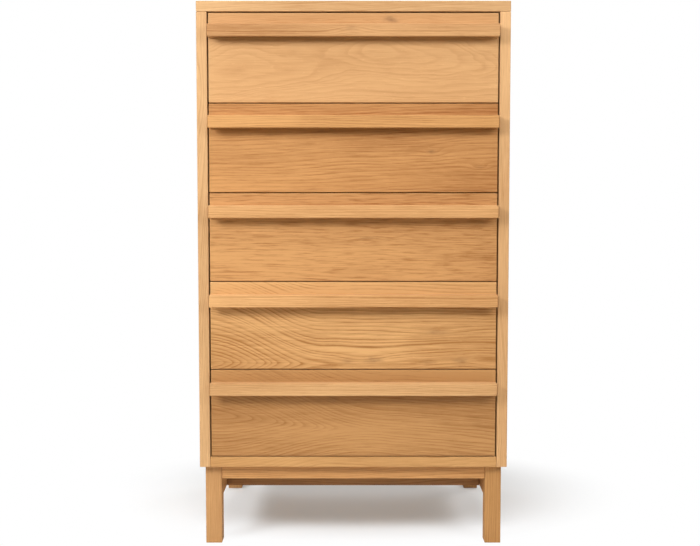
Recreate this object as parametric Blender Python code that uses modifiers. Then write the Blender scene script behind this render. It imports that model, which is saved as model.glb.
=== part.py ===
"""Tall chest of five drawers in oak: a board carcass on a four-legged base, with full-width lip handles.

Units are metres, +Z is up, and the drawers face -Y. The origin is on the floor, under the middle of the
whole chest. Every board is its own object, and each drawer's boards hang from an empty that slides
along -Y.
"""

import math

import bmesh
import bpy
from mathutils import Matrix, Vector

# ---- Driving dimensions -------------------------------------------------------------------------------
WIDTH = 0.650
DEPTH = 0.500  # over the handles
HEIGHT = 1.145
CARCASS_HEIGHT = 0.975
BOARD = 0.022  # carcass boards and drawer fronts
GAP = 0.0003  # between pieces that touch on the real chest
ARRIS = 0.0010  # eased edge of an oak board

DRAWERS = 5
REVEAL = 0.002  # between neighbouring drawer fronts, and under the lowest
END_REVEAL = 0.003  # beside the fronts
TOP_REVEAL = 0.003

HANDLE_DEPTH = 0.024
HANDLE_HEIGHT = 0.026
HANDLE_DROP = 0.025  # from the front's top edge down to the handle
HANDLE_LIP = 0.0065
HANDLE_SPINE = 0.0055  # the strip that is glued to the front
HANDLE_ROOF = 0.010
HANDLE_ROUND = 0.0015
GROOVE_STEPS = 8

SIDE_BOARD = 0.015
SIDE_HEIGHT = 0.150
SIDE_LIFT = 0.010  # from the front's bottom edge up to the side's
BOX_CLEARANCE = 0.014  # behind the closed drawer
BACK_BOARD = 0.012
BACK_INSET = 0.008  # from the side's rear end to the back board
BACK_DADO = 0.005
BACK_LOWER = 0.004  # the back board stops this far under the side's top edge
BOTTOM_BOARD = 0.005
BOTTOM_LIFT = 0.014
BOTTOM_GROOVE = 0.006
TAILS = 4
TAIL_LENGTH = 0.014
TAIL_BASE = 0.0215  # height of a tail where it leaves the side
TAIL_SLOPE = 1 / 6

RUNNER_HEIGHT = 0.018
RUNNER_BITE = 0.008  # how far a runner enters the drawer side
RUNNER_SET_BACK = 0.045  # from the carcass front to the runner's nose
RUNNER_TAIL_GAP = 0.010
RUN_CLEARANCE = 0.0004

BACK_PANEL = 0.006
BACK_PANEL_RECESS = 0.002
BACK_PANEL_LAP = 0.010

LEG = 0.034
LEG_INSET = 0.010  # from the carcass side, and from its back
LEG_SET_BACK = 0.015  # from the carcass front
APRON_HEIGHT = 0.029
APRON_BOARD = 0.022
APRON_SET_BACK = 0.002  # behind the legs' faces
RAIL_HEIGHT = 0.070
RAIL_BOARD = 0.022
CROSS_RAIL_SET_BACK = 0.110  # from the carcass front, and from its back
GLIDE_RADIUS = 0.010
GLIDE_HEIGHT = 0.0012
GLIDE_ARRIS = 0.0003
GLIDE_SIDES = 24

OVERSHOOT = 0.005  # how far a cutter runs past the face that it opens
SAME_POINT = 1e-6  # points closer than this are one point
CORNER_ANGLE = math.radians(40)  # edges sharper than this are eased
SMOOTH_ANGLE = math.radians(50)  # faces that meet at less than this are shaded as one

# ---- Worked out from them -----------------------------------------------------------------------------
FRONT_Y = -DEPTH / 2 + HANDLE_DEPTH  # face of the carcass and of the drawer fronts
BACK_Y = DEPTH / 2
FLOOR_TO_CARCASS = HEIGHT - CARCASS_HEIGHT
INNER_X = WIDTH / 2 - BOARD
OPENING_BOTTOM = FLOOR_TO_CARCASS + BOARD
OPENING_TOP = HEIGHT - BOARD
FRONT_HEIGHT = (OPENING_TOP - OPENING_BOTTOM - TOP_REVEAL - DRAWERS * REVEAL) / DRAWERS
PITCH = FRONT_HEIGHT + REVEAL
BOX_X = INNER_X - END_REVEAL  # outer face of a drawer side, in line with the front's end
FRONT_INSIDE_Y = FRONT_Y + BOARD
PANEL_FACE_Y = BACK_Y - BACK_PANEL_RECESS - BACK_PANEL
BOX_END_Y = PANEL_FACE_Y - BOX_CLEARANCE
LEG_X = WIDTH / 2 - LEG_INSET - LEG / 2
LEG_FRONT_Y = FRONT_Y + LEG_SET_BACK + LEG / 2
LEG_BACK_Y = BACK_Y - LEG_INSET - LEG / 2

OAK = {"colour": (0.66, 0.42, 0.20, 1), "roughness": 0.45}
OAK_PALE = {"colour": (0.76, 0.58, 0.36, 1), "roughness": 0.55}
PLY = {"colour": (0.80, 0.65, 0.45, 1), "roughness": 0.60}
NYLON = {"colour": (0.10, 0.08, 0.07, 1), "roughness": 0.50}


def clear_scene():
    for item in list(bpy.data.objects):
        bpy.data.objects.remove(item, do_unlink=True)


def new_collection(name):
    made = bpy.data.collections.new(name)
    bpy.context.scene.collection.children.link(made)
    return made


def new_material(name, colour, roughness):
    made = bpy.data.materials.new(name)
    made.use_nodes = True
    shader = made.node_tree.nodes["Principled BSDF"]
    shader.inputs["Base Color"].default_value = colour
    shader.inputs["Roughness"].default_value = roughness
    shader.inputs["Metallic"].default_value = 0.0
    made.diffuse_color = colour
    return made


def box_mesh(name, low, high):
    """A closed box between two corners."""
    low, high = Vector(low), Vector(high)
    size = high - low
    place = Matrix.Translation((low + high) / 2) @ Matrix.Diagonal((*size, 1))
    bm = bmesh.new()
    bmesh.ops.create_cube(bm, size=1.0, matrix=place)
    mesh = bpy.data.meshes.new(name)
    bm.to_mesh(mesh)
    bm.free()
    return mesh


def outline_mesh(name, points, low_x, high_x):
    """A flat outline of (y, z) points, extruded from low_x to high_x."""
    curve = bpy.data.curves.new(name, "CURVE")
    curve.dimensions = "2D"
    curve.fill_mode = "BOTH"
    curve.extrude = (high_x - low_x) / 2
    spline = curve.splines.new("POLY")
    spline.points.add(len(points) - 1)
    for point, (y, z) in zip(spline.points, points):
        point.co = (y, z, 0, 1)
    spline.use_cyclic_u = True
    # The curve's own X and Y become the chest's Y and Z, and its extrusion runs along X.
    upright = Matrix(((0, 0, 1, 0), (1, 0, 0, 0), (0, 1, 0, 0), (0, 0, 0, 1)))
    place = Matrix.Translation(((low_x + high_x) / 2, 0, 0)) @ upright
    holder = bpy.data.objects.new(name, curve)
    CUTTERS.objects.link(holder)
    mesh = evaluated_mesh(holder, name)
    bpy.data.objects.remove(holder, do_unlink=True)
    mesh.transform(place)
    bm = bmesh.new()
    bm.from_mesh(mesh)
    bmesh.ops.remove_doubles(bm, verts=bm.verts, dist=SAME_POINT)
    bmesh.ops.recalc_face_normals(bm, faces=bm.faces)
    bm.to_mesh(mesh)
    bm.free()
    return mesh


def evaluated_mesh(item, name):
    bpy.context.view_layer.update()
    graph = bpy.context.evaluated_depsgraph_get()
    mesh = bpy.data.meshes.new_from_object(item.evaluated_get(graph))
    mesh.name = name
    return mesh


def shaped(name, mesh, arris=0.0, arris_segments=1, cuts=()):
    """The mesh with its edges eased and then the cuts taken out, as a new mesh.

    Easing comes first, so that a cut keeps crisp edges. A cut is a mesh in the same place as the piece.
    """
    work = bpy.data.objects.new(name, mesh)
    CUTTERS.objects.link(work)
    if arris:
        bevel = work.modifiers.new("Arris", "BEVEL")
        bevel.width = arris
        bevel.segments = arris_segments
        bevel.limit_method = "ANGLE"
        bevel.angle_limit = CORNER_ANGLE
    cutters = []
    for number, cut in enumerate(cuts):
        cutter = bpy.data.objects.new(f"{name}_cutter_{number}", cut)
        cutter.hide_render = True
        cutter.display_type = "WIRE"
        CUTTERS.objects.link(cutter)
        cutters.append(cutter)
        boolean = work.modifiers.new(f"Cut {number}", "BOOLEAN")
        boolean.operation = "DIFFERENCE"
        boolean.solver = "EXACT"
        boolean.object = cutter
    made = evaluated_mesh(work, name)
    for item in (work, *cutters):
        bpy.data.objects.remove(item, do_unlink=True)
    return made


def place(name, mesh, material, parent=None, location=(0, 0, 0)):
    """One named piece of the chest."""
    item = bpy.data.objects.new(name, mesh)
    CHEST.objects.link(item)
    item.location = location
    item.parent = parent
    if not mesh.materials:
        mesh.materials.append(material)
    mesh.shade_smooth()
    mesh.set_sharp_from_angle(angle=SMOOTH_ANGLE)
    return item


# ---- Carcass ------------------------------------------------------------------------------------------
def back_panel_rebate():
    """What the back panel's rebate takes out of the four boards around it."""
    return box_mesh(
        "rebate",
        (-INNER_X - BACK_PANEL_LAP - GAP, PANEL_FACE_Y - GAP, OPENING_BOTTOM - BACK_PANEL_LAP - GAP),
        (INNER_X + BACK_PANEL_LAP + GAP, BACK_Y + OVERSHOOT, OPENING_TOP + BACK_PANEL_LAP + GAP),
    )


def build_carcass(oak, ply):
    rebate = [back_panel_rebate()]
    top = box_mesh("top_panel", (-WIDTH / 2, FRONT_Y, OPENING_TOP), (WIDTH / 2, BACK_Y, HEIGHT))
    place("top_panel", shaped("top_panel", top, ARRIS, cuts=rebate), oak)

    for label, sign in (("left", -1), ("right", 1)):
        inner, outer = sorted((sign * INNER_X, sign * WIDTH / 2))
        name = f"{label}_side_panel"
        side = box_mesh(name, (inner, FRONT_Y, FLOOR_TO_CARCASS), (outer, BACK_Y, OPENING_TOP - GAP))
        place(name, shaped(name, side, ARRIS, cuts=rebate), oak)

    bottom = box_mesh(
        "bottom_panel",
        (-INNER_X + GAP, FRONT_Y, FLOOR_TO_CARCASS),
        (INNER_X - GAP, BACK_Y, OPENING_BOTTOM),
    )
    place("bottom_panel", shaped("bottom_panel", bottom, ARRIS, cuts=rebate), oak)

    back = box_mesh(
        "back_panel",
        (-INNER_X - BACK_PANEL_LAP, PANEL_FACE_Y, OPENING_BOTTOM - BACK_PANEL_LAP),
        (INNER_X + BACK_PANEL_LAP, PANEL_FACE_Y + BACK_PANEL, OPENING_TOP + BACK_PANEL_LAP),
    )
    place("back_panel", back, ply)


# ---- Base ---------------------------------------------------------------------------------------------
def leg_mesh():
    """A square leg on its own centre line, down to the glide that it stands on."""
    half = LEG / 2
    leg = box_mesh("leg", (-half, -half, GLIDE_HEIGHT + GAP), (half, half, FLOOR_TO_CARCASS - GAP))
    return shaped("leg", leg, ARRIS)


def glide_mesh():
    """A round nylon glide under a leg, on the leg's own centre line."""
    bm = bmesh.new()
    bmesh.ops.create_cone(
        bm,
        cap_ends=True,
        segments=GLIDE_SIDES,
        radius1=GLIDE_RADIUS,
        radius2=GLIDE_RADIUS,
        depth=GLIDE_HEIGHT,
        matrix=Matrix.Translation((0, 0, GLIDE_HEIGHT / 2)),
    )
    mesh = bpy.data.meshes.new("foot_glide")
    bm.to_mesh(mesh)
    bm.free()
    return shaped("foot_glide", mesh, GLIDE_ARRIS)


def build_base(oak, nylon):
    leg, glide = leg_mesh(), glide_mesh()
    for depth_label, y in (("front", LEG_FRONT_Y), ("back", LEG_BACK_Y)):
        for side_label, x in (("left", -LEG_X), ("right", LEG_X)):
            place(f"{depth_label}_{side_label}_leg", leg, oak, location=(x, y, 0))
            place(f"{depth_label}_{side_label}_foot_glide", glide, nylon, location=(x, y, 0))

    top = FLOOR_TO_CARCASS - GAP
    apron_x = LEG_X - LEG / 2 - GAP
    apron_starts = {
        "front_apron": LEG_FRONT_Y - LEG / 2 + APRON_SET_BACK,
        "back_apron": LEG_BACK_Y + LEG / 2 - APRON_SET_BACK - APRON_BOARD,
    }
    for name, near in apron_starts.items():
        apron = box_mesh(name, (-apron_x, near, top - APRON_HEIGHT), (apron_x, near + APRON_BOARD, top))
        place(name, shaped(name, apron, ARRIS), oak)

    rail_y = (LEG_FRONT_Y + LEG / 2 + GAP, LEG_BACK_Y - LEG / 2 - GAP)
    rail_inner_x = LEG_X - LEG / 2
    for label, sign in (("left", -1), ("right", 1)):
        low_x, high_x = sorted((sign * rail_inner_x, sign * (rail_inner_x + RAIL_BOARD)))
        name = f"{label}_side_rail"
        rail = box_mesh(name, (low_x, rail_y[0], top - RAIL_HEIGHT), (high_x, rail_y[1], top))
        place(name, shaped(name, rail, ARRIS), oak)

    cross_starts = {
        "front_cross_rail": FRONT_Y + CROSS_RAIL_SET_BACK,
        "back_cross_rail": BACK_Y - CROSS_RAIL_SET_BACK - RAIL_BOARD,
    }
    cross_x = rail_inner_x - GAP
    for name, near in cross_starts.items():
        rail = box_mesh(name, (-cross_x, near, top - RAIL_HEIGHT), (cross_x, near + RAIL_BOARD, top))
        place(name, shaped(name, rail, ARRIS), oak)


# ---- Drawers ------------------------------------------------------------------------------------------
# A drawer is drawn with the bottom edge of its front at z = 0. Its empty lifts it to its own height.
SIDE_BASE = SIDE_LIFT
SIDE_TOP = SIDE_LIFT + SIDE_HEIGHT
BOTTOM_LOW = SIDE_BASE + BOTTOM_LIFT
BOTTOM_HIGH = BOTTOM_LOW + BOTTOM_BOARD
RUNNER_Z = SIDE_BASE + SIDE_HEIGHT / 2
RUNNER_NOSE_Y = FRONT_Y + RUNNER_SET_BACK
BACK_FACE_Y = BOX_END_Y - BACK_INSET - BACK_BOARD


def tail_spans(reach, slack=0.0):
    """(base, tip) half-heights and the middle of each dovetail, reaching forward from the side's end."""
    pitch = SIDE_HEIGHT / TAILS
    base = TAIL_BASE / 2 + slack
    tip = base + reach * TAIL_SLOPE
    return [(SIDE_BASE + pitch * (number + 0.5), base, tip) for number in range(TAILS)]


def side_outline():
    """The drawer side seen from the side, with its dovetail tails pointing to the front."""
    shoulder = FRONT_INSIDE_Y + GAP
    reach = TAIL_LENGTH - GAP
    tip_y = shoulder - reach
    points = [(BOX_END_Y, SIDE_BASE), (BOX_END_Y, SIDE_TOP), (shoulder, SIDE_TOP)]
    for middle, base, tip in reversed(tail_spans(reach)):
        points += [
            (shoulder, middle + base),
            (tip_y, middle + tip),
            (tip_y, middle - tip),
            (shoulder, middle - base),
        ]
    return points + [(shoulder, SIDE_BASE)]


def side_cuts(sign):
    """The runner groove outside, and inside the bottom's groove and the back board's dado."""
    outer, inner = sign * BOX_X, sign * (BOX_X - SIDE_BOARD)
    runner_x = sorted((outer + sign * OVERSHOOT, outer - sign * (RUNNER_BITE + RUN_CLEARANCE)))
    groove_x = sorted((inner - sign * OVERSHOOT, inner + sign * BOTTOM_GROOVE))
    dado_x = sorted((inner - sign * OVERSHOOT, inner + sign * (BACK_DADO + GAP)))
    half = RUNNER_HEIGHT / 2 + RUN_CLEARANCE
    return [
        box_mesh(
            "runner_groove",
            (runner_x[0], RUNNER_NOSE_Y - RUN_CLEARANCE, RUNNER_Z - half),
            (runner_x[1], BOX_END_Y + OVERSHOOT, RUNNER_Z + half),
        ),
        box_mesh(
            "bottom_groove",
            (groove_x[0], FRONT_Y, BOTTOM_LOW - GAP),
            (groove_x[1], BOX_END_Y + OVERSHOOT, BOTTOM_HIGH + GAP),
        ),
        box_mesh(
            "back_dado",
            (dado_x[0], BACK_FACE_Y - GAP, BOTTOM_HIGH),
            (dado_x[1], BACK_FACE_Y + BACK_BOARD + GAP, SIDE_TOP + OVERSHOOT),
        ),
    ]


def side_mesh(label, sign):
    low_x, high_x = sorted((sign * BOX_X, sign * (BOX_X - SIDE_BOARD)))
    name = f"drawer_{label}_side"
    return shaped(name, outline_mesh(name, side_outline(), low_x, high_x), cuts=side_cuts(sign))


def front_cuts():
    """The dovetail sockets at both ends of the back face, and the groove for the bottom."""
    cuts = []
    for sign in (-1, 1):
        low_x, high_x = sorted((sign * (BOX_X + OVERSHOOT), sign * (BOX_X - SIDE_BOARD - GAP)))
        for middle, base, _ in tail_spans(TAIL_LENGTH, slack=GAP):
            mouth = base - OVERSHOOT * TAIL_SLOPE
            tip = base + TAIL_LENGTH * TAIL_SLOPE
            socket = [
                (FRONT_INSIDE_Y + OVERSHOOT, middle - mouth),
                (FRONT_INSIDE_Y + OVERSHOOT, middle + mouth),
                (FRONT_INSIDE_Y - TAIL_LENGTH, middle + tip),
                (FRONT_INSIDE_Y - TAIL_LENGTH, middle - tip),
            ]
            cuts.append(outline_mesh("socket", socket, low_x, high_x))
    groove_x = BOX_X - SIDE_BOARD + BOTTOM_GROOVE
    cuts.append(
        box_mesh(
            "front_groove",
            (-groove_x, FRONT_INSIDE_Y - BOTTOM_GROOVE, BOTTOM_LOW - GAP),
            (groove_x, FRONT_INSIDE_Y + OVERSHOOT, BOTTOM_HIGH + GAP),
        )
    )
    return cuts


def front_mesh():
    front = box_mesh("drawer_front", (-BOX_X, FRONT_Y, 0), (BOX_X, FRONT_INSIDE_Y, FRONT_HEIGHT))
    return shaped("drawer_front", front, ARRIS, cuts=front_cuts())


def handle_mesh():
    """A bar as long as the front, hollowed from below so that fingers hook behind its lip."""
    top = FRONT_HEIGHT - HANDLE_DROP
    low = top - HANDLE_HEIGHT
    near, far = FRONT_Y - HANDLE_DEPTH, FRONT_Y - GAP
    bar = box_mesh("drawer_handle", (-BOX_X, near, low), (BOX_X, far, top))
    bar = shaped("drawer_handle", bar, HANDLE_ROUND, arris_segments=2)
    groove_near, groove_far = near + HANDLE_LIP, far - HANDLE_SPINE
    radius = (groove_far - groove_near) / 2
    centre_y = (groove_near + groove_far) / 2
    centre_z = top - HANDLE_ROOF - radius
    turns = [math.pi * step / GROOVE_STEPS for step in range(GROOVE_STEPS + 1)]
    arc = [(centre_y - radius * math.cos(turn), centre_z + radius * math.sin(turn)) for turn in turns]
    mouth = low - OVERSHOOT
    groove = [(groove_near, mouth), *arc, (groove_far, mouth)]
    return shaped("drawer_handle", bar, cuts=[outline_mesh("finger_groove", groove, -WIDTH, WIDTH)])


def back_board_mesh():
    reach = BOX_X - SIDE_BOARD + BACK_DADO
    return box_mesh(
        "drawer_back",
        (-reach, BACK_FACE_Y, BOTTOM_HIGH + GAP),
        (reach, BACK_FACE_Y + BACK_BOARD, SIDE_TOP - BACK_LOWER),
    )


def bottom_mesh():
    reach = BOX_X - SIDE_BOARD + BOTTOM_GROOVE - GAP
    return box_mesh(
        "drawer_bottom",
        (-reach, FRONT_INSIDE_Y - BOTTOM_GROOVE + GAP, BOTTOM_LOW),
        (reach, BOX_END_Y, BOTTOM_HIGH),
    )


def runner_mesh(label, sign):
    """A hardwood strip on the carcass side, which the drawer's groove rides on."""
    low_x, high_x = sorted((sign * (INNER_X - GAP), sign * (BOX_X - RUNNER_BITE)))
    half = RUNNER_HEIGHT / 2
    strip = box_mesh(
        f"runner_{label}",
        (low_x, RUNNER_NOSE_Y, RUNNER_Z - half),
        (high_x, PANEL_FACE_Y - RUNNER_TAIL_GAP, RUNNER_Z + half),
    )
    return shaped(f"runner_{label}", strip, ARRIS)


def build_drawers(oak, pale, ply):
    """Five equal drawers, numbered from the top, with the pair of runners that each one rides on."""
    meshes = {
        "front": (front_mesh(), oak),
        "handle": (handle_mesh(), oak),
        "left_side": (side_mesh("left", -1), pale),
        "right_side": (side_mesh("right", 1), pale),
        "back": (back_board_mesh(), pale),
        "bottom": (bottom_mesh(), ply),
    }
    runners = {label: runner_mesh(label, sign) for label, sign in (("left", -1), ("right", 1))}
    for number in range(1, DRAWERS + 1):
        lift = OPENING_BOTTOM + REVEAL + (DRAWERS - number) * PITCH
        slide = bpy.data.objects.new(f"drawer_{number}", None)
        CHEST.objects.link(slide)
        slide.location = (0, 0, lift)
        for label, (mesh, material) in meshes.items():
            place(f"drawer_{number}_{label}", mesh, material, parent=slide)
        for label, mesh in runners.items():
            place(f"runner_{number}_{label}", mesh, pale, location=(0, 0, lift))


clear_scene()
CHEST = new_collection("tall_chest_of_drawers")
CUTTERS = new_collection("cutters")
oak = new_material("oak", **OAK)
oak_pale = new_material("pale_oak", **OAK_PALE)
birch_ply = new_material("birch_ply", **PLY)
dark_nylon = new_material("dark_nylon", **NYLON)
build_carcass(oak, birch_ply)
build_base(oak, dark_nylon)
build_drawers(oak, oak_pale, birch_ply)
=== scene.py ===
"""The looks of the tall chest of drawers: oiled oak under soft studio light, on a plain white floor.

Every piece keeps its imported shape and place. Lengths are in metres. Colours are linear values of light, so
1 is white.
"""

import math
import random

import bpy
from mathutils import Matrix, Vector


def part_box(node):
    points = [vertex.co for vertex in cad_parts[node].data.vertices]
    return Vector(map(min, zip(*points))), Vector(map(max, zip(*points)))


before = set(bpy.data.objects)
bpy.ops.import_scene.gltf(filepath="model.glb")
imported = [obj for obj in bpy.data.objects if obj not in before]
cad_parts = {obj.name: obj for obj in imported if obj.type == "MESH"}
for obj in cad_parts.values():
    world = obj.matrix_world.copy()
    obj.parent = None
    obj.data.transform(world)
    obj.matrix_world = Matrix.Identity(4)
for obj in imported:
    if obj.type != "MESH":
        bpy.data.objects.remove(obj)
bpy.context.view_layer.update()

# ---- Camera -------------------------------------------------------------------------------------------
CAMERA_DISTANCE = 2.2  # from the carcass front
CAMERA_HEIGHT = 0.753
CAMERA_PITCH = math.radians(3.6)
CAMERA_X = -0.0071
FOCAL_LENGTH = 54.20  # in millimetres, as is the sensor
SENSOR = 36.0
SHIFT_Y = -0.022

# ---- Room ---------------------------------------------------------------------------------------------
WHITE = (1.0, 1.0, 1.0, 1)
SKY_LIGHT = 0.05
SKY_TINT = (1.0, 0.90, 0.72, 1)
SOFTBOX_AIM = 0.62  # the height that every softbox points at
FLOOR_SIZE = 60
FLOOR_SHADE = (0.88, 0.93, 0.98, 1)
FLOOR_BOUNCE = (0.92, 0.90, 0.84, 1)
ROOM_BOUNCE = (0.42, 0.31, 0.17, 1)  # the room's own floor, beyond the white paper
PAPER_EDGE = (0.9, 1.7)  # from the chest's middle: where the paper starts to give way, and where it has
FLOOR_GLOW = 0.28  # keeps the shadows on the floor pale
GLOW_TINT = (1.0, 0.94, 0.87, 1)  # as if the oak above lit them
FADE_CENTRE = (0.0, 0.20, 0.0)
FADE_SQUASH = (0.8, 1.25, 1.0)  # the fade is an oval, wider than it is deep
FADE = (0.30, 0.56)  # from the fade's centre: where the floor starts to turn white, and where it is


# ---- Node trees ---------------------------------------------------------------------------------------
class Graph:
    """Adds shader nodes to a tree. A value is a number, a tuple or another node's output."""

    def __init__(self, tree):
        self.tree = tree

    def add(self, kind, values=(), **settings):
        node = self.tree.nodes.new(kind)
        for name, value in settings.items():
            setattr(node, name, value)
        for key, value in dict(values).items():
            if isinstance(value, bpy.types.NodeSocket):
                self.tree.links.new(value, node.inputs[key])
            else:
                node.inputs[key].default_value = value
        return node

    def math(self, operation, *values, clamp=False):
        node = self.add("ShaderNodeMath", enumerate(values), operation=operation, use_clamp=clamp)
        return node.outputs[0]

    def vector(self, operation, *values):
        node = self.add("ShaderNodeVectorMath", enumerate(values), operation=operation)
        return node.outputs["Value" if operation in ("LENGTH", "DOT_PRODUCT") else "Vector"]

    def combine(self, x, y, z):
        return self.add("ShaderNodeCombineXYZ", enumerate((x, y, z))).outputs[0]

    def separate(self, vector):
        return self.add("ShaderNodeSeparateXYZ", {0: vector}).outputs

    def plus(self, total, value, weight):
        """The total with the weighted value added to it."""
        return self.math("ADD", total, self.math("MULTIPLY", value, weight))

    def centred(self, value):
        """Noise from 0 to 1, moved to swing around 0."""
        return self.math("SUBTRACT", value, 0.5)

    def noise(self, vector, scale, detail=2.0, roughness=0.5):
        """Smooth noise around 0.5; scale is a number, or one for each direction."""
        if isinstance(scale, tuple):
            vector, scale = self.vector("MULTIPLY", vector, scale), 1.0
        values = {"Vector": vector, "Scale": scale, "Detail": detail, "Roughness": roughness}
        return self.add("ShaderNodeTexNoise", values).outputs[0]

    def chance(self, key):
        """A random value and a random colour for each key."""
        return self.add("ShaderNodeTexWhiteNoise", {"W": key}, noise_dimensions="1D").outputs

    def remap(self, value, from_low, from_high, to_low=0.0, to_high=1.0, smooth=False):
        kind = "SMOOTHSTEP" if smooth else "LINEAR"
        values = {0: value, 1: from_low, 2: from_high, 3: to_low, 4: to_high}
        return self.add("ShaderNodeMapRange", values, interpolation_type=kind).outputs[0]

    def mix(self, share, first, second):
        return self.add("ShaderNodeMix", {0: share, 6: first, 7: second}, data_type="RGBA").outputs[2]

    def curve(self, value, stops):
        """A grey ramp through (place, level) stops."""
        node = self.add("ShaderNodeValToRGB", {0: value})
        elements = node.color_ramp.elements
        while len(elements) < len(stops):
            elements.new(0.5)
        for element, (place, level) in zip(elements, stops):
            element.position = place
            element.color = (level, level, level, 1)
        return node.outputs[0]


def new_material(name):
    material = bpy.data.materials.new(name)
    material.use_nodes = True
    graph = Graph(material.node_tree)
    return material, graph, material.node_tree.nodes["Principled BSDF"]


def repaint(node, material):
    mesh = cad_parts[node].data
    mesh.materials.clear()
    mesh.materials.append(material)


# ---- Grain --------------------------------------------------------------------------------------------
SWEEP_START = -0.32  # along the grain
GRAIN_INPUTS = {
    "Seed": 0.0,
    "Pith across": 0.0,
    "Pith depth": 0.05,
    "Tilt across": 0.0,
    "Tilt depth": 0.02,
    "Sweep": 0.0,
    "Sweep end": 0.06,
    "Rings per metre": 330.0,
    "Wave": 0.010,
    "Knot field": 0.0,
    "Stave width": 10.0,
}
GRAIN_OUTPUTS = ("Ring", "Fibre", "Streak", "Pore", "Tone", "Ray", "Joint")

STAVE_LIMIT = 1.0  # a width over this means that the board is one piece
STAVE_KEY_STEP = 7.31
STAVE_PITH_ACROSS = 0.10  # how far the pith moves about from stave to stave
STAVE_PITH_DEPTH = 0.06
STAVE_TONE = 0.55
GLUE_LINE = (0.4965, 0.4985)  # where it starts and is full, in stave widths from the stave's middle
KEY_SHIFT = (1.37, 0.73)

# How many waves each noise has in a metre along the grain, across it and into the board
DRIFT_ACROSS_SCALE = (2.6, 7.0, 7.0)
DRIFT_DEPTH_SCALE = (2.2, 6.0, 6.0)
RIPPLE_SCALE = (13.0, 34.0, 34.0)
PATCH_SCALE = (5.0, 38.0, 38.0)
FIBRE_SCALE = (16.0, 520.0, 520.0)
STREAK_SCALE = (24.0, 250.0, 250.0)
PORE_SCALE = (60.0, 1500.0, 1500.0)
RAY_SCALE = (90.0, 260.0, 900.0)
TONE_SCALE = (1.6, 11.0, 11.0)

DRIFT_REACH = 4.0  # how far the pith line wanders, in the figure's waves
RIPPLE_REACH = 0.45
YEAR_SCALE = 0.31
YEAR_REACH = 3.2  # good and bad years make wide and narrow rings
SPRING_WOOD = ((0.0, 0.90), (0.12, 1.0), (0.30, 0.45), (0.56, 0.10), (0.9, 0.0), (1.0, 0.90))
FAINTEST_PATCH = 0.35
FAINTEST_YEAR = 0.45
FEWEST_PORES = 0.25  # between the rings
FULL_RING = 0.7  # a ring this open has all of its pores

# Where each noise starts to make its mark, and where the mark is full
PATCH_RANGE = (0.32, 0.66)
STREAK_RANGE = (0.50, 0.72)
PORE_RANGE = (0.60, 0.72)
RAY_RANGE = (0.66, 0.76)

# Offsets that keep one noise from following another
DRIFT_DEPTH_OFFSET = (3.1, 8.7, 5.2)
STREAK_OFFSET = (5.0, 4.0, 3.0)
RAY_OFFSET = (1.0, 2.0, 3.0)


def add_grain_sockets(tree):
    sockets = tree.interface
    sockets.new_socket(name="Point", in_out="INPUT", socket_type="NodeSocketVector")
    for name, value in GRAIN_INPUTS.items():
        made = sockets.new_socket(name=name, in_out="INPUT", socket_type="NodeSocketFloat")
        made.default_value = value
    for name in GRAIN_OUTPUTS:
        sockets.new_socket(name=name, in_out="OUTPUT", socket_type="NodeSocketFloat")


def add_staves(g, inputs, across_board):
    """The place across a stave, the stave's key and its random draws, and the glue line beside it.

    A wide board is glued up from staves, each with its own rings and tone. In a board of one piece, the
    draws and the glue line are 0.
    """
    place = g.math("DIVIDE", across_board, inputs["Stave width"])
    place = g.math("ADD", place, 0.5)
    key = g.plus(inputs["Seed"], g.math("FLOOR", place), STAVE_KEY_STEP)
    in_stave = g.centred(g.math("FRACT", place))
    across = g.math("MULTIPLY", in_stave, inputs["Stave width"])
    is_stave = g.math("LESS_THAN", inputs["Stave width"], STAVE_LIMIT)
    draws = g.separate(g.vector("SUBTRACT", g.chance(key)["Color"], (0.5, 0.5, 0.5)))
    draws = [g.math("MULTIPLY", draw, is_stave) for draw in draws]
    joint = g.remap(g.math("ABSOLUTE", in_stave), *GLUE_LINE)
    return across, key, draws, g.math("MULTIPLY", joint, is_stave)


def pith_line(g, inputs, direction, along, draw, reach):
    """Where the pith runs, across the board or in its depth."""
    line = g.math("MULTIPLY", inputs[f"Tilt {direction}"], along)
    line = g.math("ADD", line, inputs[f"Pith {direction}"])
    return g.plus(line, draw, reach)


def distance_from_pith(g, inputs, point, along, from_line):
    """How far out in the tree the point grew, with the tree's waves, knots and sweep."""
    drift_across = g.noise(point, DRIFT_ACROSS_SCALE, detail=1.0)
    drift_depth = g.noise(g.vector("ADD", point, DRIFT_DEPTH_OFFSET), DRIFT_DEPTH_SCALE, detail=1.0)
    reach = g.math("MULTIPLY", inputs["Wave"], DRIFT_REACH)
    from_across = g.plus(from_line[0], g.centred(drift_across), reach)
    from_depth = g.plus(from_line[1], g.centred(drift_depth), reach)
    radius = g.vector("LENGTH", g.combine(from_across, from_depth, 0.0))
    ripple = g.centred(g.noise(point, RIPPLE_SCALE))
    radius = g.plus(radius, ripple, g.math("MULTIPLY", inputs["Wave"], RIPPLE_REACH))
    radius = g.math("ADD", radius, inputs["Knot field"])
    swept = g.remap(along, SWEEP_START, inputs["Sweep end"], smooth=True)
    return g.plus(radius, swept, inputs["Sweep"])


def growth_rings(g, inputs, point, key, radius):
    """The open spring wood: 0 between the rings, and up to 1 in them."""
    years = g.math("MULTIPLY", radius, inputs["Rings per metre"])
    uneven = g.noise(g.combine(g.math("MULTIPLY", years, YEAR_SCALE), key, 0.0), 1.0, detail=1.0)
    years = g.plus(years, g.centred(uneven), YEAR_REACH)
    spring = g.curve(g.math("FRACT", years), SPRING_WOOD)
    patch = g.remap(g.noise(point, PATCH_SCALE), *PATCH_RANGE, FAINTEST_PATCH, 1.0)
    year = g.remap(g.chance(g.math("FLOOR", years))["Value"], 0.0, 1.0, FAINTEST_YEAR, 1.0)
    return g.math("MULTIPLY", spring, g.math("MULTIPLY", patch, year))


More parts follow.
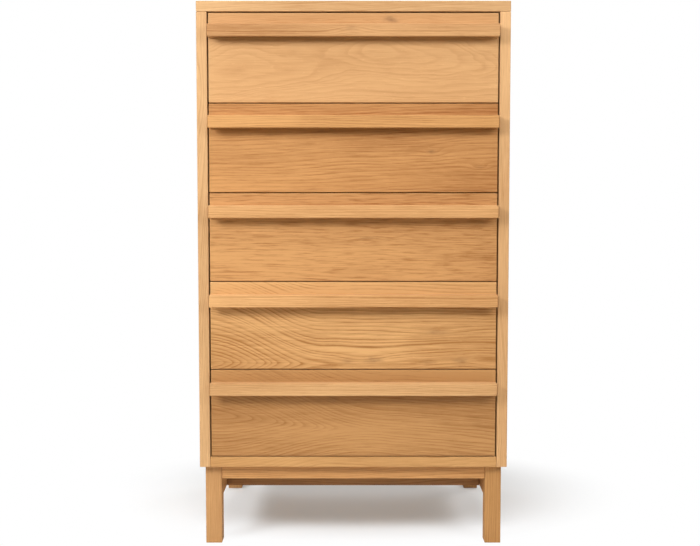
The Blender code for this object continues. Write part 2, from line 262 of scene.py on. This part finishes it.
def fine_marks(g, point, ring):
    """Fibres, dark streaks, pores and rays. Each is its own noise, drawn out along the grain."""
    streaks = g.noise(g.vector("ADD", point, STREAK_OFFSET), STREAK_SCALE)
    pores = g.remap(g.noise(point, PORE_SCALE, detail=1.0), *PORE_RANGE)
    rays = g.noise(g.vector("ADD", point, RAY_OFFSET), RAY_SCALE, detail=1.0)
    return {
        "Fibre": g.noise(point, FIBRE_SCALE, detail=3.0, roughness=0.62),
        "Streak": g.remap(streaks, *STREAK_RANGE),
        "Pore": g.math("MULTIPLY", pores, g.remap(ring, 0.0, FULL_RING, FEWEST_PORES, 1.0)),
        "Ray": g.remap(rays, *RAY_RANGE),
    }


def grain_group():
    """Growth rings, fibres, pores and rays of oak, from a point in metres whose X runs along the grain.

    The rings are shells around a pith line that tilts and bends inside or beside the board, so each face
    cuts them the way a saw does: arches on a flat-sawn face, lines on a quartered one, arcs on an end.
    """
    tree = bpy.data.node_groups.new("oak_grain", "ShaderNodeTree")
    add_grain_sockets(tree)
    g = Graph(tree)
    inputs = g.add("NodeGroupInput").outputs
    along, across_board, depth = g.separate(inputs["Point"])
    across, key, draws, joint = add_staves(g, inputs, across_board)
    shift = g.combine(*(g.math("MULTIPLY", key, share) for share in KEY_SHIFT), key)
    point = g.vector("ADD", g.combine(along, across, depth), shift)

    pith_across = pith_line(g, inputs, "across", along, draws[0], STAVE_PITH_ACROSS)
    pith_depth = pith_line(g, inputs, "depth", along, draws[1], STAVE_PITH_DEPTH)
    from_line = (g.math("SUBTRACT", across, pith_across), g.math("ADD", depth, pith_depth))
    radius = distance_from_pith(g, inputs, point, along, from_line)
    ring = growth_rings(g, inputs, point, key, radius)
    tone = g.plus(g.noise(point, TONE_SCALE), draws[2], STAVE_TONE)
    g.add("NodeGroupOutput", {"Ring": ring, **fine_marks(g, point, ring), "Tone": tone, "Joint": joint})
    return tree


GRAIN = grain_group()


class Knot:
    """A knot, an eye or a smudge in a board, placed along and across its grain from the board's centre.

    push is how far it shoulders the rings aside, in its own sizes. dark is how brown its core is.
    """

    def __init__(self, along, across, size, stretch=2.4, push=2.2, dark=0.8):
        self.place = (along, across, 0.0)
        self.size = size
        self.stretch = stretch
        self.push = push
        self.dark = dark


class Figure:
    """How one board was cut from its log, how strongly its grain shows, and the light and shade painted on
    it.

    The changes are grain inputs under their names in small letters, such as rings_per_metre.
    """

    def __init__(self, contrast=1.0, ring=0.62, streak=0.10, painted_strip_light=0.0, lean=0.0, knots=(), **changes):
        self.contrast = contrast
        self.ring = ring  # how much deeper the spring wood is
        self.streak = streak
        self.painted_strip_light = painted_strip_light  # painted light on the strip above the handle: how much paler the upper edge is, and painted shade where it is negative
        self.lean = lean  # how much deeper each metre along the grain is: partly the board's own drift in tone, partly a painted falloff of the light
        self.knots = knots
        self.values = dict(GRAIN_INPUTS)
        for name, value in changes.items():
            self.values[name.replace("_", " ").capitalize()] = value


# ---- Oak ----------------------------------------------------------------------------------------------
AXES = {"X": 0, "Y": 1, "Z": 2}

# Albedo of the oak, between the rings and in them
PALE = (0.661, 0.377, 0.168)
DEEP = (0.340, 0.1445, 0.0395)
KNOT_BROWN = (0.16, 0.075, 0.03, 1)

FRAY_SCALE = (60.0, 160.0, 160.0)  # of the noise that makes a knot's edge ragged
PUSH_FALL = -0.22  # a knot pushes the rings further out than it is dark
CORE_FALL = -2.2
KNOT_DEPTH = 4.0  # in knot sizes

# What each mark adds to the shade of the wood, which runs from 0, the palest, to 1, the deepest
BASE_SHADE = 0.22
FIBRE_SHADE = 1.0
TONE_SHADE = 1.3
PORE_SHADE = 0.35
RAY_SHADE = -0.12
PAINTED_STRIP_EDGE = (0.035, 0.068)  # above the board's middle: where the painted light on the strip above the handle starts, and is full

END_FACING = (0.75, 0.95)  # from the rounded edge of an end to its flat, by how it faces the grain

# An end and a glue line take this share of DEEP, at this level of it
END_SHARE = 0.45
END_LEVEL = 0.62
JOINT_SHARE = 0.35
JOINT_LEVEL = 0.5

OIL_ROUGHNESS = 0.62
PANEL_ROUGHNESS = 0.72
INSIDE_ROUGHNESS = 0.6
BIRCH_ROUGHNESS = 0.5
RING_ROUGHNESS = 0.10  # added in the spring wood
SPECULAR = 0.35
RING_RELIEF = -0.35
PORE_RELIEF = -0.65
FIBRE_RELIEF = 0.30
RELIEF_STRENGTH = 0.5
RELIEF_DEPTH = 0.0002


def bell(g, offset, fall):
    """1 at no offset, and falling to 0 on all sides."""
    return g.math("EXPONENT", g.math("MULTIPLY", g.vector("DOT_PRODUCT", offset, offset), fall))


def knot_field(g, point, knots):
    """How far the knots push the rings outwards, and how dark they are, from 0 to 1."""
    push, dark = 0.0, 0.0
    fray = g.add("ShaderNodeTexNoise", {"Vector": g.vector("MULTIPLY", point, FRAY_SCALE), "Scale": 1.0})
    fray = g.vector("SUBTRACT", fray.outputs["Color"], (0.5, 0.5, 0.5))
    for knot in knots:
        size = (knot.stretch * knot.size, knot.size, KNOT_DEPTH * knot.size)
        offset = g.vector("SUBTRACT", point, knot.place)
        offset = g.vector("MULTIPLY", offset, tuple(1 / length for length in size))
        push = g.plus(push, bell(g, offset, PUSH_FALL), knot.size * knot.push)
        core = bell(g, g.vector("ADD", offset, fray), CORE_FALL)
        dark = g.math("ADD", dark, g.math("MULTIPLY", core, knot.dark), clamp=True)
    return push, dark


def board_point(g, node, length_axis):
    """The point from the board's centre: along its grain, across its face and into its thickness."""
    low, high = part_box(node)
    others = [axis for axis in range(3) if axis != length_axis]
    others.sort(key=lambda axis: low[axis] - high[axis])
    place = g.add("ShaderNodeTexCoord").outputs["Object"]
    from_centre = g.separate(g.vector("SUBTRACT", place, tuple((low + high) / 2)))
    return g.combine(*(from_centre[axis] for axis in (length_axis, *others)))


def oak_shade(g, marks, point, figure):
    """How deep the wood's colour is: 0 between the rings of the palest wood, and 1 at the deepest, with
    painted light and shade on the strip above the handle and along the board.
    """
    shade = g.math("MULTIPLY", marks["Ring"], figure.ring * figure.contrast)
    shade = g.plus(shade, g.centred(marks["Fibre"]), FIBRE_SHADE * figure.contrast)
    shade = g.plus(shade, g.centred(marks["Tone"]), TONE_SHADE * figure.contrast)
    shade = g.plus(shade, marks["Streak"], figure.streak)
    shade = g.plus(shade, marks["Pore"], PORE_SHADE * figure.contrast)
    shade = g.plus(shade, marks["Ray"], RAY_SHADE)
    along, across, _ = g.separate(point)
    # Painted light on the strip above the handle, and painted shade where the value is negative
    upper_edge = g.remap(across, *PAINTED_STRIP_EDGE, smooth=True)
    shade = g.plus(shade, upper_edge, -figure.painted_strip_light)
    # Deeper along the grain: partly the board's own drift in tone, partly a painted falloff of the light
    shade = g.plus(shade, along, figure.lean)
    return g.math("ADD", shade, BASE_SHADE, clamp=True)


def end_grain(g, length_axis):
    """1 on the board's two ends, which drink more oil than a face and so are darker."""
    facing = g.separate(g.add("ShaderNodeTexCoord").outputs["Normal"])[length_axis]
    return g.remap(g.math("ABSOLUTE", facing), *END_FACING)


def opaque(colour, level=1.0):
    """The colour at this level, as a node takes it."""
    return (*(channel * level for channel in colour), 1)


def paint_board(node, grain, figure, colours, roughness=OIL_ROUGHNESS, wood="oak"):
    """Oiled wood for one board. Its colours are those between the rings and in the open spring wood."""
    material, g, shader = new_material(f"{wood}_{node}")
    pale, deep = colours
    point = board_point(g, node, AXES[grain])
    push, dark = knot_field(g, point, figure.knots)
    values = {**figure.values, "Knot field": push, "Point": point}
    marks = g.add("ShaderNodeGroup", values, node_tree=GRAIN).outputs

    colour = g.mix(oak_shade(g, marks, point, figure), opaque(pale), opaque(deep))
    end = end_grain(g, AXES[grain])
    colour = g.mix(g.math("MULTIPLY", end, END_SHARE), colour, opaque(deep, END_LEVEL))
    colour = g.mix(dark, colour, KNOT_BROWN)
    colour = g.mix(g.math("MULTIPLY", marks["Joint"], JOINT_SHARE), colour, opaque(deep, JOINT_LEVEL))
    g.tree.links.new(colour, shader.inputs["Base Color"])

    g.tree.links.new(g.plus(roughness, marks["Ring"], RING_ROUGHNESS), shader.inputs["Roughness"])
    shader.inputs["Specular IOR Level"].default_value = SPECULAR
    relief = g.math("MULTIPLY", marks["Ring"], RING_RELIEF)
    relief = g.plus(relief, marks["Pore"], PORE_RELIEF)
    relief = g.plus(relief, marks["Fibre"], FIBRE_RELIEF)
    values = {"Height": relief, "Strength": RELIEF_STRENGTH, "Distance": RELIEF_DEPTH}
    g.tree.links.new(g.add("ShaderNodeBump", values).outputs[0], shader.inputs["Normal"])
    repaint(node, material)


def toned(colour, level, green=1.0, blue=1.0):
    """The colour made lighter or darker, with its green and blue scaled against its red."""
    return (colour[0] * level, colour[1] * level * green, colour[2] * level * blue)


def oak_colours(level, green=1.0, blue=1.0):
    return toned(PALE, level, green, blue), toned(DEEP, level, green, blue)


def straight(seed, **changes):
    """Rift-sawn stock: near-straight lines, for narrow pieces."""
    draw = random.Random(seed)
    settings = {
        "seed": draw.uniform(0, 50),
        "pith_across": draw.choice((-1, 1)) * draw.uniform(0.05, 0.11),
        "pith_depth": draw.uniform(0.05, 0.10),
        "tilt_across": draw.uniform(-0.02, 0.02),
        "tilt_depth": draw.uniform(-0.02, 0.02),
        "wave": 0.005,
    }
    return Figure(**{**settings, **changes})


def arched(seed, **changes):
    """Flat-sawn stock with arches."""
    draw = random.Random(seed)
    settings = {
        "seed": draw.uniform(0, 50),
        "pith_across": draw.uniform(-0.03, 0.03),
        "pith_depth": draw.uniform(0.03, 0.06),
        "tilt_across": draw.uniform(-0.04, 0.04),
        "tilt_depth": draw.choice((-1, 1)) * draw.uniform(0.03, 0.07),
        "wave": 0.009,
    }
    return Figure(**{**settings, **changes})


FRONT_FIGURES = {
    1: Figure(
        seed=3.0,
        pith_across=-0.02,
        pith_depth=0.12,
        tilt_depth=0.02,
        wave=0.018,
        rings_per_metre=230.0,
        contrast=0.42,
        streak=0.12,
        painted_strip_light=-0.2,
        knots=(
            Knot(0.050, 0.034, 0.018, stretch=1.9, push=-1.1, dark=0.0),
            Knot(-0.232, 0.004, 0.013, stretch=2.0, push=-0.9, dark=0.0),
            Knot(0.077, 0.078, 0.0095, stretch=1.9, push=1.0, dark=0.8),
        ),
    ),
    2: Figure(
        seed=11.0,
        pith_across=-0.14,
        pith_depth=0.05,
        tilt_across=0.05,
        wave=0.010,
        rings_per_metre=150.0,
        contrast=1.15,
        ring=0.44,
        streak=0.20,
        lean=0.85,
        painted_strip_light=-0.27,
        knots=(Knot(0.163, -0.008, 0.005, dark=0.9), Knot(0.264, -0.040, 0.004, dark=0.7)),
    ),
    3: Figure(
        seed=19.0,
        pith_across=0.16,
        pith_depth=0.08,
        tilt_across=-0.03,
        wave=0.008,
        rings_per_metre=170.0,
        contrast=1.1,
        ring=0.42,
        streak=0.48,
        painted_strip_light=0.22,
        lean=0.2,
        knots=(Knot(0.03, -0.001, 0.0045, stretch=9.0, push=2.0, dark=0.5),),
    ),
    4: Figure(
        seed=27.0,
        pith_across=-0.076,
        pith_depth=0.010,
        sweep=0.085,
        sweep_end=-0.06,
        wave=0.006,
        rings_per_metre=125.0,
        contrast=1.3,
        streak=0.12,
        painted_strip_light=0.45,
        lean=0.4,
        knots=(
            Knot(-0.012, -0.076, 0.008, push=0.7, dark=0.35),
            Knot(0.042, -0.073, 0.010, push=0.7, dark=0.50),
            Knot(0.156, -0.076, 0.008, push=0.7, dark=0.30),
            Knot(0.226, -0.074, 0.009, push=0.7, dark=0.45),
            Knot(0.176, -0.014, 0.006, stretch=6.0, push=2.2, dark=0.5),
        ),
    ),
    5: Figure(
        seed=35.0,
        pith_across=-0.033,
        pith_depth=0.010,
        tilt_across=-0.10,
        sweep=0.085,
        wave=0.006,
        rings_per_metre=140.0,
        contrast=1.15,
        ring=0.46,
        streak=0.14,
        painted_strip_light=0.36,
    ),
}
HANDLE_KNOTS = {1: (Knot(-0.003, 0.004, 0.006, stretch=3.0, push=1.2, dark=0.35),)}

# The level of each board, and its green and blue against those of PALE and DEEP
FRONT_TONES = {
    1: (0.97, 1.015, 1.00),
    2: (0.825, 0.88, 0.68),
    3: (0.85, 0.91, 0.75),
    4: (0.955, 0.985, 0.875),
    5: (0.70, 0.90, 0.71),
}
HANDLE_TONES = {
    1: (0.85, 0.98, 0.93),
    2: (0.855, 0.915, 0.72),
    3: (0.99, 0.99, 0.93),
    4: (1.04, 1.00, 0.95),
    5: (0.93, 1.03, 1.03),
}
CARCASS_TONES = {
    "top_panel": (0.99, 1.12, 1.25),
    "bottom_panel": (0.89, 0.985, 0.855),
    "left_side_panel": (0.97, 1.09, 1.20),
    "right_side_panel": (1.00, 1.06, 1.13),
}
BASE_TONE = (0.885, 0.92, 0.77)
LEG_TONES = {"left": (0.79, 0.955, 0.86), "right": (0.70, 0.90, 0.68)}
SHADED_CROSS_RAIL_TONE = (0.50, 0.85, 0.65)  # painted shade: the rails sit in shadow under the apron and the carcass, so their oak is made darker
PLAIN_OAK = (PALE, DEEP)
INSIDE_OAK = (toned(PALE, 1.08), toned(DEEP, 1.12))
RUNNER_OAK = (toned(PALE, 1.05), DEEP)
BIRCH = ((0.74, 0.56, 0.36), (0.60, 0.41, 0.24))

STAVE_WIDTH = 0.105
BACK_STAVE_WIDTH = 0.1565
PANEL_GRAINS = {"top_panel": "X", "bottom_panel": "X", "left_side_panel": "Z", "right_side_panel": "Z"}
# Each side board deeper towards one end: partly its own drift in tone, partly a painted falloff of the light
# down the chest
PANEL_DRIFTS_AND_FALLOFFS = {"left_side_panel": 0.10, "right_side_panel": -0.10}
BASE_GRAINS = {
    "front_apron": "X",
    "back_apron": "X",
    "front_cross_rail": "X",
    "back_cross_rail": "X",
    "left_side_rail": "Y",
    "right_side_rail": "Y",
}

NYLON_DARKEST = (0.020, 0.017, 0.015)
NYLON_PALEST = (0.035, 0.030, 0.026)
NYLON_ROUGHNESS = (0.42, 0.58)
SPECKLE_SCALE = 900.0
SPECKLE_RANGE = (0.3, 0.7)


def paint_drawer(number):
    prefix = f"drawer_{number}_"
    paint_board(f"{prefix}front", "X", FRONT_FIGURES[number], oak_colours(*FRONT_TONES[number]))
    handle = f"{prefix}handle"
    figure = straight(handle, knots=HANDLE_KNOTS.get(number, ()))
    paint_board(handle, "X", figure, oak_colours(*HANDLE_TONES[number]))
    for part, grain in (("left_side", "Y"), ("right_side", "Y"), ("back", "X")):
        board = f"{prefix}{part}"
        paint_board(board, grain, arched(board, contrast=0.7), INSIDE_OAK, INSIDE_ROUGHNESS)
    veneer = Figure(seed=60.0 + number, pith_depth=0.5, wave=0.03, rings_per_metre=160.0, contrast=0.6)
    paint_board(f"{prefix}bottom", "X", veneer, BIRCH, BIRCH_ROUGHNESS, wood="birch")


def paint_carcass():
    for node, grain in PANEL_GRAINS.items():
        lean = PANEL_DRIFTS_AND_FALLOFFS.get(node, 0.0)
        figure = arched(node, stave_width=STAVE_WIDTH, contrast=0.7, lean=lean)
        paint_board(node, grain, figure, oak_colours(*CARCASS_TONES[node]), PANEL_ROUGHNESS)
    figure = arched("back_panel", stave_width=BACK_STAVE_WIDTH, wave=0.014, contrast=0.9)
    paint_board("back_panel", "Z", figure, PLAIN_OAK)
    for number in FRONT_FIGURES:
        for label in ("left", "right"):
            runner = f"runner_{number}_{label}"
            paint_board(runner, "Y", straight(runner), RUNNER_OAK)


def dark_nylon():
    material, g, shader = new_material("dark_nylon")
    speckle = g.noise(g.add("ShaderNodeTexCoord").outputs["Object"], SPECKLE_SCALE, detail=3.0)
    colour = g.mix(speckle, opaque(NYLON_DARKEST), opaque(NYLON_PALEST))
    g.tree.links.new(colour, shader.inputs["Base Color"])
    roughness = g.remap(speckle, *SPECKLE_RANGE, *NYLON_ROUGHNESS)
    g.tree.links.new(roughness, shader.inputs["Roughness"])
    return material


def paint_base():
    for node, grain in BASE_GRAINS.items():
        # The cross rails get darker oak as painted shade
        tone = SHADED_CROSS_RAIL_TONE if "cross_rail" in node else BASE_TONE
        paint_board(node, grain, straight(node), oak_colours(*tone))
    nylon = dark_nylon()
    for end in ("front", "back"):
        for label, tone in LEG_TONES.items():
            leg = f"{end}_{label}_leg"
            paint_board(leg, "Z", straight(leg), oak_colours(*tone))
            repaint(f"{end}_{label}_foot_glide", nylon)


# ---- Studio -------------------------------------------------------------------------------------------
def add_camera():
    front_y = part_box("top_panel")[0].y
    data = bpy.data.cameras.new("camera")
    data.sensor_width = SENSOR
    data.lens = FOCAL_LENGTH
    data.shift_y = SHIFT_Y
    camera = bpy.data.objects.new("camera", data)
    bpy.context.collection.objects.link(camera)
    camera.location = (CAMERA_X, front_y - CAMERA_DISTANCE, CAMERA_HEIGHT)
    camera.rotation_euler = (math.radians(90) - CAMERA_PITCH, 0, 0)
    bpy.context.scene.camera = camera


def add_softbox(name, azimuth, elevation, distance, size, power):
    """A square area light. Azimuth 0 is in front of the chest, and positive is to the viewer's right."""
    data = bpy.data.lights.new(name, "AREA")
    data.shape = "SQUARE"
    data.size = size
    data.energy = power
    light = bpy.data.objects.new(name, data)
    light.visible_camera = False
    bpy.context.collection.objects.link(light)
    turn, rise = math.radians(azimuth), math.radians(elevation)
    out = Vector((math.sin(turn) * math.cos(rise), -math.cos(turn) * math.cos(rise), math.sin(rise)))
    light.location = Vector((0, 0, SOFTBOX_AIM)) + out * distance
    light.rotation_euler = (-out).to_track_quat("-Z", "Y").to_euler()


def seen_or_lighting(g, seen, lighting):
    """One shader for what the camera sees, and another for what lights the chest."""
    is_seen = g.add("ShaderNodeLightPath").outputs["Is Camera Ray"]
    mixed = g.add("ShaderNodeMixShader", {0: is_seen, 1: lighting.outputs[0], 2: seen.outputs[0]})
    return mixed.outputs[0]


def add_world():
    """A white room: it shows as pure white, and fills the shadows less than that."""
    world = bpy.data.worlds.new("studio")
    world.use_nodes = True
    bpy.context.scene.world = world
    world.node_tree.nodes.clear()
    g = Graph(world.node_tree)
    seen = g.add("ShaderNodeBackground", {0: WHITE, 1: 1.0})
    lighting = g.add("ShaderNodeBackground", {0: SKY_TINT, 1: SKY_LIGHT})
    g.add("ShaderNodeOutputWorld", {0: seen_or_lighting(g, seen, lighting)})


def floor_material():
    """Pale paper that the camera sees melt into the white room, and that bounces only plain light."""
    material = bpy.data.materials.new("pale_floor")
    material.use_nodes = True
    material.node_tree.nodes.clear()
    g = Graph(material.node_tree)
    place = g.add("ShaderNodeTexCoord").outputs["Object"]

    paper = g.add("ShaderNodeBsdfDiffuse", {0: FLOOR_SHADE})
    glow = g.add("ShaderNodeEmission", {0: GLOW_TINT, 1: 1.0})
    near = g.add("ShaderNodeMixShader", {0: FLOOR_GLOW, 1: paper.outputs[0], 2: glow.outputs[0]})
    room = g.add("ShaderNodeEmission", {0: WHITE, 1: 1.0})
    squashed = g.vector("MULTIPLY", g.vector("SUBTRACT", place, FADE_CENTRE), FADE_SQUASH)
    away = g.remap(g.vector("LENGTH", squashed), *FADE, smooth=True)
    seen = g.add("ShaderNodeMixShader", {0: away, 1: near.outputs[0], 2: room.outputs[0]})

    off_paper = g.remap(g.vector("LENGTH", place), *PAPER_EDGE, smooth=True)
    bounce = g.add("ShaderNodeBsdfDiffuse", {0: g.mix(off_paper, FLOOR_BOUNCE, ROOM_BOUNCE)})
    g.add("ShaderNodeOutputMaterial", {0: seen_or_lighting(g, seen, bounce)})
    return material


def add_floor():
    bpy.ops.mesh.primitive_plane_add(size=FLOOR_SIZE)
    floor = bpy.context.object
    floor.name = "floor"
    floor.data.materials.append(floor_material())


def set_colour_management():
    view = bpy.context.scene.view_settings
    view.view_transform = "Standard"
    view.look = "None"


add_camera()
add_world()
add_floor()
add_softbox("key_softbox", azimuth=-46, elevation=27, distance=2.6, size=0.75, power=50)
add_softbox("fill_softbox", azimuth=41, elevation=27, distance=2.6, size=0.9, power=24.5)
add_softbox("front_softbox", azimuth=-8, elevation=32, distance=2.65, size=1.15, power=13.5)
add_softbox("back_left_softbox", azimuth=-138, elevation=30, distance=3.4, size=1.8, power=24)
add_softbox("back_right_softbox", azimuth=132, elevation=30, distance=3.4, size=1.8, power=27)
add_softbox("top_softbox", azimuth=0, elevation=76, distance=3.2, size=2.0, power=78)
set_colour_management()
paint_carcass()
paint_base()
for drawer_number in FRONT_FIGURES:
    paint_drawer(drawer_number)
